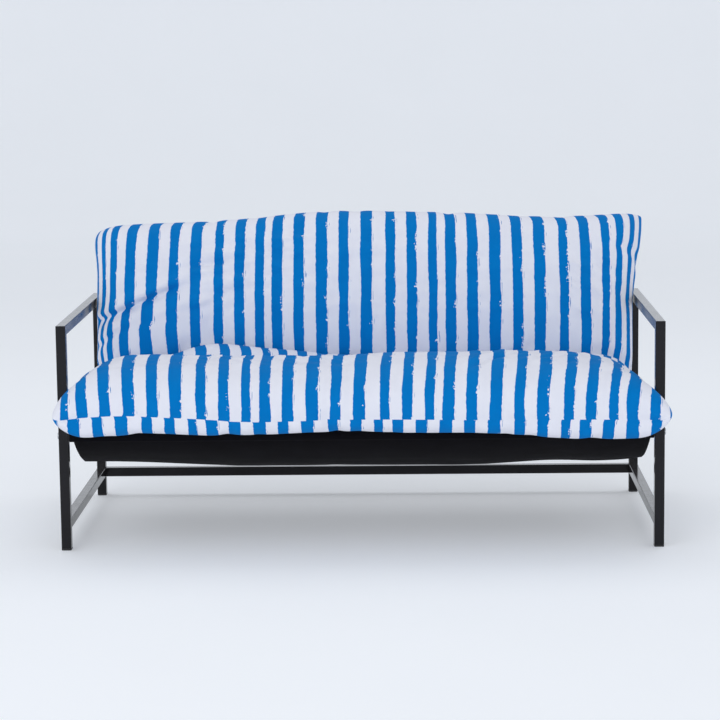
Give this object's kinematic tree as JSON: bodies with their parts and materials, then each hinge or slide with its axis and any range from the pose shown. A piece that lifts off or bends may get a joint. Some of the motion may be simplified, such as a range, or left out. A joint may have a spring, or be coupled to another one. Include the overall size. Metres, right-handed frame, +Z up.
{
  "type": "futon sofa bed",
  "caption": "Two-seat futon sofa bed: slim square-tube frame, canvas sling, striped soft mattress, and a clamped back that reclines flat onto a fold-out support.",
  "frame": {"origin": "on the floor under the middle of the sofa's overall box, with the back upright", "axes": "+X to the right of someone facing the sofa, +Y towards its back, +Z up"},
  "size_m": [1.552, 0.8933, 0.8119],
  "materials": {
    "black_tube": "satin black powder coat",
    "zinc_fasteners": "bright zinc plate",
    "black_plastic": "moulded, fine grain",
    "nylon_bush": "smooth natural nylon",
    "black_rubber": "matt",
    "black_canvas": "plain-weave canvas, matt",
    "striped_cover": "printed brushed polyester, blue and white painted stripes",
    "filling": "polyester fibre wadding"
  },
  "bodies": {
    "base_frame": {"bracket_screws": "zinc_fasteners", "clamp_washers": "zinc_fasteners", "frame_bolts": "zinc_fasteners", "front_seat_rail": "black_tube", "left_arm_rail": "black_tube", "left_clamp_stud": "zinc_fasteners", "left_front_foot": "black_plastic", "left_front_leg": "black_tube", "left_hinge_bracket": "black_tube", "left_lower_side_rail": "black_tube", "left_pivot_bolt": "zinc_fasteners", "left_rear_foot": "black_plastic", "left_rear_leg": "black_tube", "left_seat_side_rail": "black_tube", "mattress_seat_cover": "striped_cover", "mattress_seat_filling": "filling", "pivot_nuts": "zinc_fasteners", "pivot_washers": "zinc_fasteners", "rail_end_plugs": "black_plastic", "rear_seat_rail": "black_tube", "rear_stretcher": "black_tube", "right_arm_rail": "black_tube", "right_clamp_stud": "zinc_fasteners", "right_front_foot": "black_plastic", "right_front_leg": "black_tube", "right_hinge_bracket": "black_tube", "right_lower_side_rail": "black_tube", "right_pivot_bolt": "zinc_fasteners", "right_rear_foot": "black_plastic", "right_rear_leg": "black_tube", "right_seat_side_rail": "black_tube", "seat_sling": "black_canvas"},
    "back_frame": {"back_lower_rail": "black_tube", "back_sling": "black_canvas", "back_top_rail": "black_tube", "left_back_upright": "black_tube", "left_quadrant_plate": "black_tube", "mattress_back_cover": "striped_cover", "mattress_back_filling": "filling", "pivot_bushes": "nylon_bush", "prop_lugs": "black_tube", "prop_pins": "zinc_fasteners", "quadrant_rivets": "zinc_fasteners", "right_back_upright": "black_tube", "right_quadrant_plate": "black_tube", "upright_end_caps": "black_plastic"},
    "prop_bail": {"left_prop_leg": "black_tube", "prop_foot_bar": "black_tube", "prop_rubber_feet": "black_rubber", "right_prop_leg": "black_tube"},
    "left_clamp_knob": {"left_clamp_knob": "black_plastic"},
    "right_clamp_knob": {"right_clamp_knob": "black_plastic"}
  },
  "joints": [
    {"name": "back_recline", "type": "hinge", "parent": "base_frame", "child": "back_frame", "pos_m": [0, 0.2705, 0.2965], "axis": [-1, 0, 0], "range_deg": [0, 70]},
    {"name": "bail_swing", "type": "hinge", "parent": "back_frame", "child": "prop_bail", "pos_m": [0, 0.43717, 0.68279], "axis": [1, 0, 0], "range_deg": [0, 90]},
    {"name": "left_knob_turn", "type": "hinge", "parent": "base_frame", "child": "left_clamp_knob", "pos_m": [-0.7573, 0.2705, 0.2165], "axis": [-1, 0, 0], "range_deg": [0, 270]},
    {"name": "right_knob_turn", "type": "hinge", "parent": "base_frame", "child": "right_clamp_knob", "pos_m": [0.7573, 0.2705, 0.2165], "axis": [1, 0, 0], "range_deg": [0, 270]}
  ]
}
